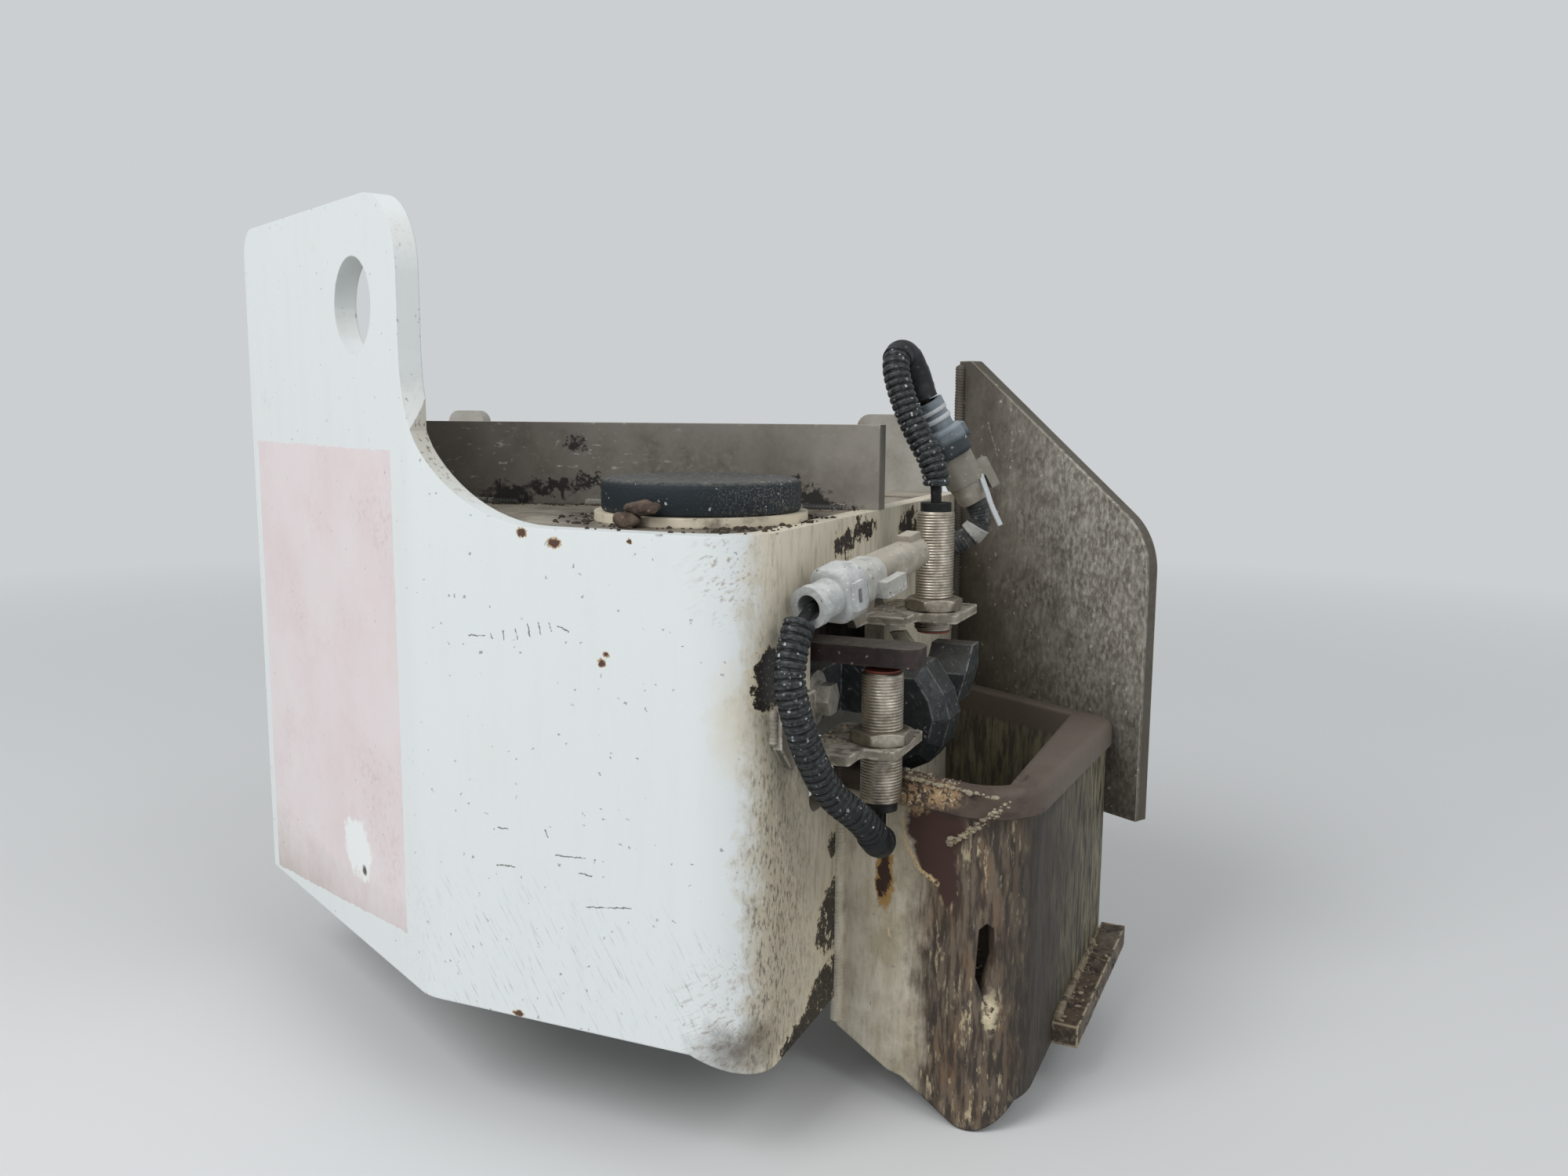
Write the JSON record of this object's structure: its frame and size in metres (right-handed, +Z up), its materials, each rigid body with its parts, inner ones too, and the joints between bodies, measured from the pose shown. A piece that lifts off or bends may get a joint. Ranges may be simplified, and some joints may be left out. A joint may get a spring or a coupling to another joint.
{
  "type": "refuse truck sensor guard bracket",
  "caption": "Folded steel side guard with a lifting tab, a rubber bump pad, proximity sensors, a pivoting trip lever, wired connectors and a V-shaped catch pocket.",
  "frame": {"origin": "middle of the four bolt holes on the back plate's rear face", "axes": "+Z up, +X to the truck's front, +Y in towards the truck, out of the back plate's rear face"},
  "size_m": [0.4698, 0.29, 0.3971],
  "materials": {
    "guard_paint": "satin white paint, scratched and stained",
    "inner_paint": "dull white paint under dirt",
    "deck_paint": "dirty white paint",
    "strap_paint": "grey-brown dirty paint",
    "seat_paint": "dirty white paint",
    "pad_rubber": "matte black rubber",
    "end_paint": "mottled bare grey",
    "pocket_paint": "worn paint, rust stained",
    "pocket_bar_paint": "rusty steel bar",
    "shelf_paint": "chipped white paint",
    "barrel_nickel": "dull nickel plate",
    "nut_nickel": "dull nickel plate",
    "lower_face_plastic": "reddish plastic",
    "upper_face_plastic": "reddish plastic",
    "boot_rubber": "black moulded rubber",
    "lead_jacket": "black cable jacket",
    "tail_jacket": "black cable jacket",
    "sleeve_plastic": "black ribbed plastic, dusty",
    "backshell_plastic": "dusty black plastic",
    "upper_backshell_plastic": "dusty black plastic",
    "lower_plug_plastic": "light grey plastic",
    "upper_plug_plastic": "dark grey plastic",
    "lower_socket_plastic": "light grey plastic",
    "upper_socket_plastic": "light grey plastic",
    "lever_casting": "dark grey casting",
    "flag_steel": "dark red-brown steel",
    "brace_steel": "dirty white paint",
    "tip_steel": "dark worn steel",
    "bolt_zinc": "dull zinc plate",
    "washer_zinc": "dull zinc plate"
  },
  "bodies": {
    "root": {"back_plate": "inner_paint", "deck_plate": "deck_paint", "end_plate": "end_paint", "flat_washer": "washer_zinc", "guard_plate": "guard_paint", "left_return": "inner_paint", "lower_backshell": "backshell_plastic", "lower_boot": "boot_rubber", "lower_lead": "lead_jacket", "lower_nut": "nut_nickel", "lower_plug": "lower_plug_plastic", "lower_sensor": "barrel_nickel", "lower_sensor_face": "lower_face_plastic", "lower_shelf": "shelf_paint", "lower_sleeve": "sleeve_plastic", "lower_socket": "lower_socket_plastic", "pad_seat": "seat_paint", "pivot_bolt": "bolt_zinc", "pivot_carrier": "inner_paint", "pivot_nut": "bolt_zinc", "pocket_bar": "pocket_bar_paint", "pocket_floor": "pocket_paint", "pocket_wall": "pocket_paint", "rubber_pad": "pad_rubber", "spring_washer": "washer_zinc", "strap_plate": "strap_paint", "tail_lead": "tail_jacket", "upper_backshell": "upper_backshell_plastic", "upper_boot": "boot_rubber", "upper_lead": "lead_jacket", "upper_nut": "nut_nickel", "upper_plug": "upper_plug_plastic", "upper_sensor": "barrel_nickel", "upper_sensor_face": "upper_face_plastic", "upper_shelf": "shelf_paint", "upper_sleeve": "sleeve_plastic", "upper_socket": "upper_socket_plastic"},
    "lever": {"trip_lever": "lever_casting", "lever_flag": "flag_steel", "lever_brace": "brace_steel", "lever_tip": "tip_steel"}
  },
  "joints": [
    {"name": "lever_pivot", "type": "hinge", "parent": "root", "child": "lever", "pos_m": [0.163, -0.214, -0.001], "axis": [-1, 0, 0], "range_deg": [0, 8]}
  ]
}
